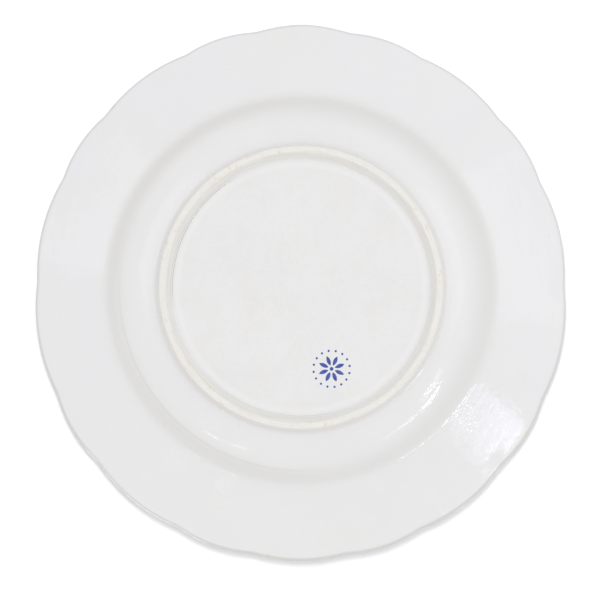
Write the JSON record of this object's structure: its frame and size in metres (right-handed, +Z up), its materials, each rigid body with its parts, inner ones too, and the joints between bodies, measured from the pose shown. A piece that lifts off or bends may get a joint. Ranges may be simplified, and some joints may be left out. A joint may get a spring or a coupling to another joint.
{
  "type": "dinner plate",
  "caption": "Round glazed china dinner plate with a wide scalloped rim, a shallow well and a turned foot ring with a bare standing edge.",
  "frame": {"origin": "centre of the foot ring, on the plane that the plate stands on", "axes": "+Z up along the plate's axis, from the foot ring to the face; +Y towards the middle of a 21 degree scallop; the scallops mirror each other across the YZ plane"},
  "size_m": [0.2486, 0.25, 0.024],
  "materials": {
    "bare_clay": "matt cream clay, bare only on the standing edge of the foot ring",
    "face_glaze": "glossy white glaze",
    "back_glaze": "glossy white glaze, faintly cool, pooled a little in the cove of the foot ring",
    "foot_well_glaze": "glossy white glaze, faintly warm",
    "blue_print": "cobalt blue print under the gloss of the glaze"
  },
  "bodies": {
    "root": {"biscuit_body": "bare_clay", "face_glaze": "face_glaze", "back_glaze": "back_glaze", "foot_well_glaze": "foot_well_glaze", "printed_mark": "blue_print"}
  },
  "joints": []
}
